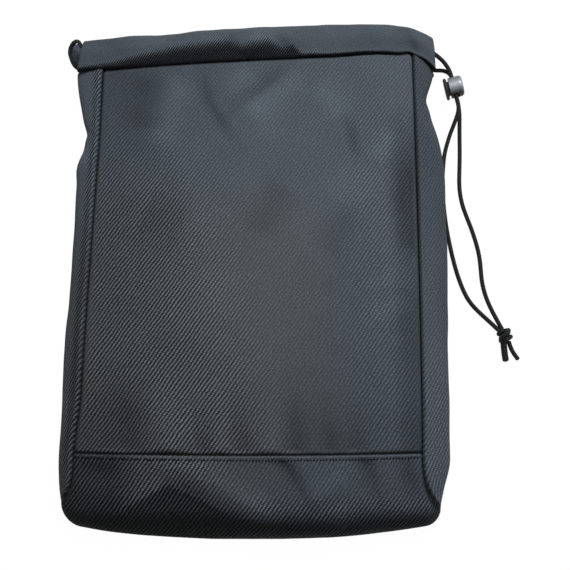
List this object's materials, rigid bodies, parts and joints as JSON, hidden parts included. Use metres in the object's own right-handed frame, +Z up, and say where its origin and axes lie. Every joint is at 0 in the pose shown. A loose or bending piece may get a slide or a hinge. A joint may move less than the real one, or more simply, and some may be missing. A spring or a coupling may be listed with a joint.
{
  "type": "golf shoe bag",
  "caption": "Dark twill drawstring shoe bag lying flat, with a box-folded base, side gussets, a cord casing at the mouth and a sprung barrel cord lock on the knotted drawcord.",
  "frame": {"origin": "on the supporting surface, under the middle of the laid-flat bag without its free cord", "axes": "+Y from the base towards the mouth, +Z up through the front panel, +X to the side where the cord lock lies"},
  "size_m": [0.34, 0.38, 0.038],
  "materials": {
    "twill": "dark grey-blue coated polyester twill with a diagonal rib",
    "seam_tape": "black woven binding tape",
    "drawcord": "black braided round cord",
    "lock_shell": "satin grey moulded plastic",
    "lock_plunger": "black moulded plastic",
    "spring_wire": "bright steel wire"
  },
  "bodies": {
    "bag": {"front_panel": "twill", "back_panel": "twill", "base_wrap": "twill", "left_gusset": "twill", "right_gusset": "twill", "front_casing": "twill", "back_casing": "twill", "front_left_binding": "seam_tape", "front_right_binding": "seam_tape", "back_left_binding": "seam_tape", "back_right_binding": "seam_tape", "cord_front_run": "drawcord", "cord_back_run": "drawcord", "cord_left_loop": "drawcord", "cord_front_tail": "drawcord", "cord_back_tail": "drawcord", "cord_knot": "drawcord", "cord_front_end": "drawcord", "cord_back_end": "drawcord"},
    "lock": {"lock_barrel": "lock_shell", "lock_spring": "spring_wire"},
    "button": {"lock_button": "lock_plunger"}
  },
  "joints": [
    {"name": "lock_slide", "type": "slide", "parent": "bag", "child": "lock", "axis": [-0.1736, 0.9848, 0], "range_m": [-0.007, 0.003]},
    {"name": "button_press", "type": "slide", "parent": "lock", "child": "button", "axis": [0.9513, 0.1677, 0.2588], "range_m": [0, 0.0012], "stiffness_N_per_m": 600, "springref_m": -0.004, "deforming": ["lock_spring"]}
  ]
}
